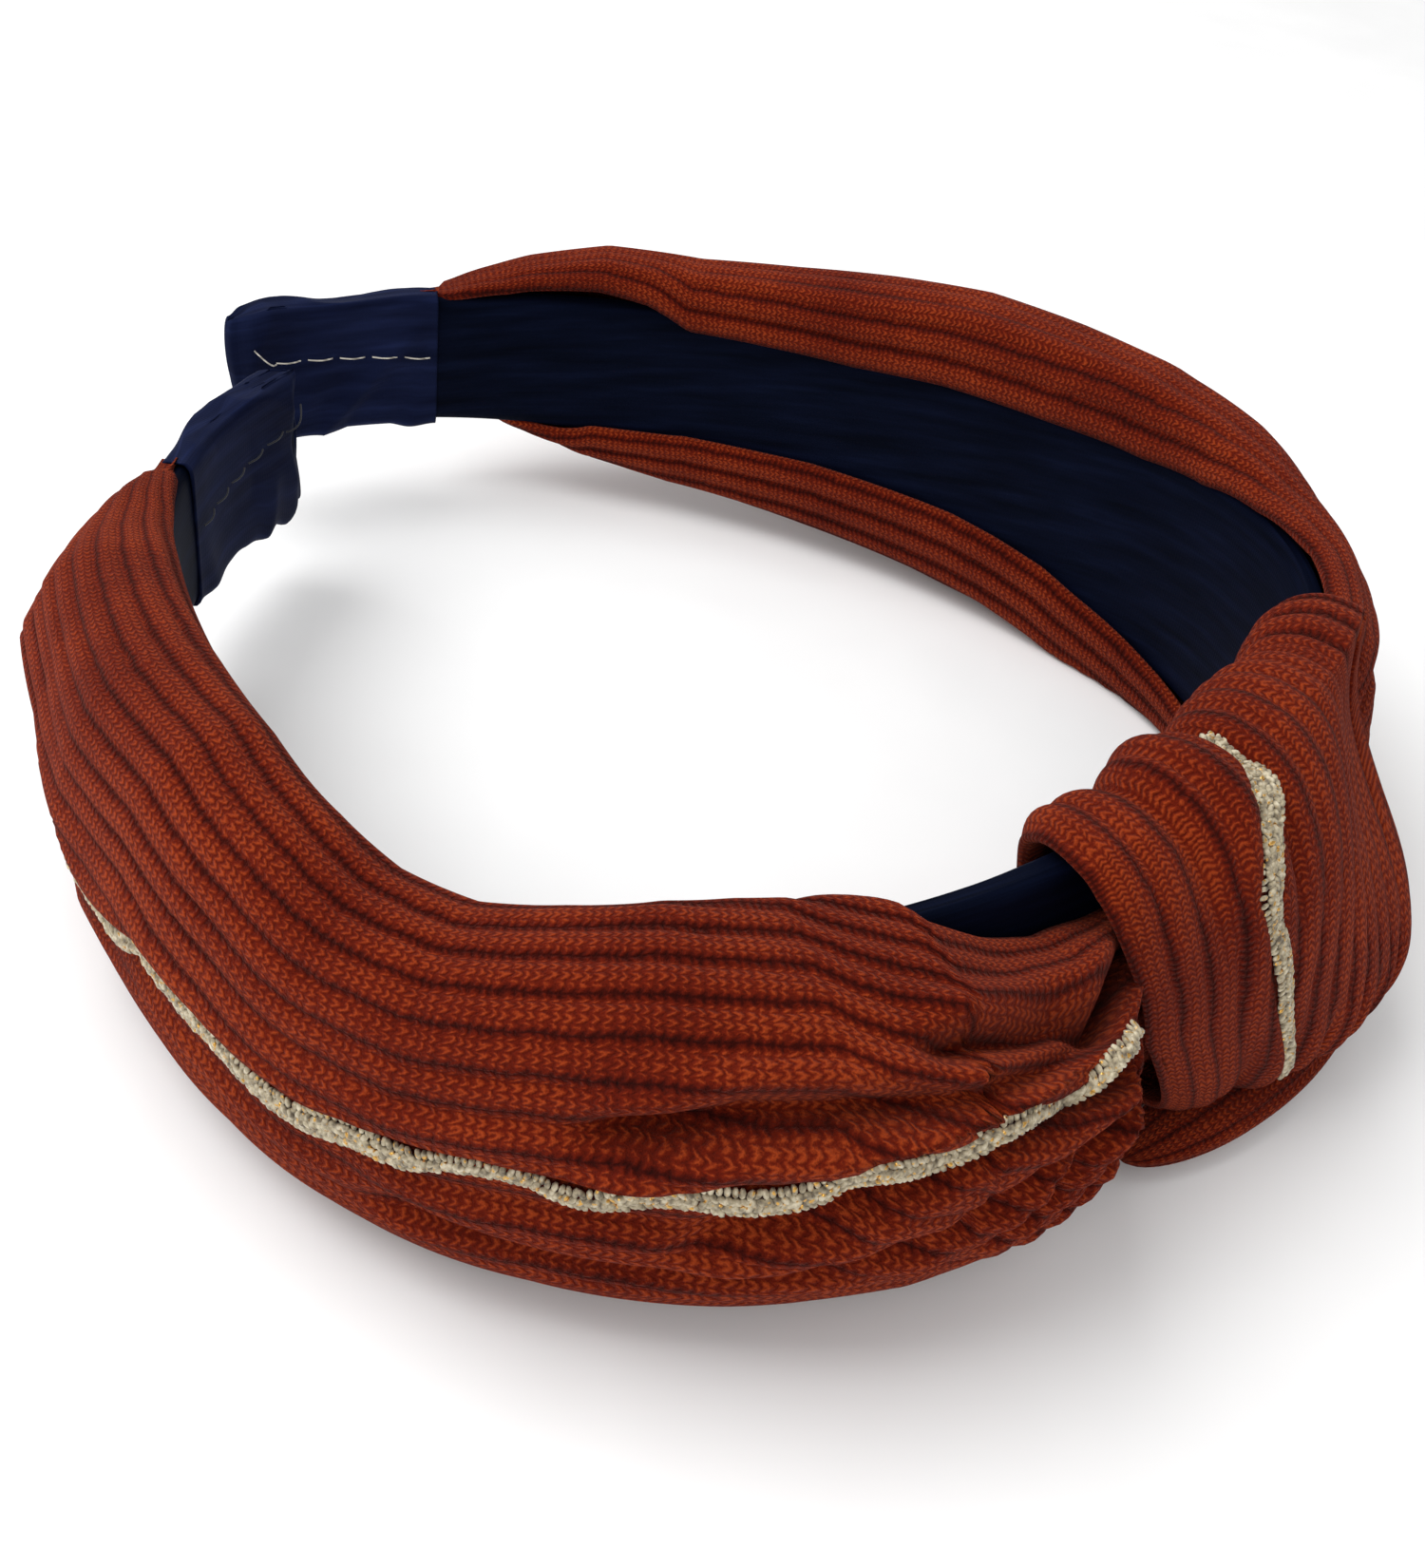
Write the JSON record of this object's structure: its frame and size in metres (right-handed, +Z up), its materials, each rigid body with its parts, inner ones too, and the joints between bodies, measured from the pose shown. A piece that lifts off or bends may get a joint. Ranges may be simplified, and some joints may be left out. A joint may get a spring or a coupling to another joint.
{
  "type": "knotted headband",
  "caption": "Hard hairband with a satin-sleeved sprung hoop, two puffed rib-knit wings, a wrapped side knot and a wavy metallic braid, lying on its side.",
  "frame": {"origin": "middle of the band's bounding box in plan, on the surface that the band lies on", "axes": "+Z up, across the band's width; the knot faces -Y, the two tips nearly meet towards +Y, and the left arm is on -X"},
  "size_m": [0.1568, 0.163, 0.0419],
  "materials": {
    "hoop_plastic": "matt moulded polypropylene, hidden",
    "satin": "navy-black satin, slight sheen",
    "rib_knit": "rust rib knit, soft and slightly heathered",
    "metallic_braid": "cream and gold metallic looped braid",
    "sewing_thread": "pale cotton thread"
  },
  "bodies": {
    "crown": {"core_crown": "hoop_plastic", "sleeve_crown": "satin", "knit_middle": "rib_knit", "knot_wrap": "rib_knit", "knot_tuck": "rib_knit", "trim_knot": "metallic_braid"},
    "left_arm": {"core_left": "hoop_plastic", "sleeve_left": "satin", "knit_left": "rib_knit", "trim_left": "metallic_braid", "tip_cap_left": "satin", "cap_stitch_left": "sewing_thread"},
    "right_arm": {"core_right": "hoop_plastic", "sleeve_right": "satin", "knit_right": "rib_knit", "trim_right": "metallic_braid", "tip_cap_right": "satin", "cap_stitch_right": "sewing_thread"}
  },
  "joints": [
    {"name": "left_flex", "type": "hinge", "parent": "crown", "child": "left_arm", "pos_m": [-0.02689, -0.05599, 0.0204], "axis": [0, 0, 1], "range_deg": [-4, 22], "stiffness_Nm_per_rad": 0.5},
    {"name": "right_flex", "type": "hinge", "parent": "crown", "child": "right_arm", "pos_m": [0.03933, -0.05489, 0.0204], "axis": [0, 0, -1], "range_deg": [-4, 22], "stiffness_Nm_per_rad": 0.5}
  ]
}
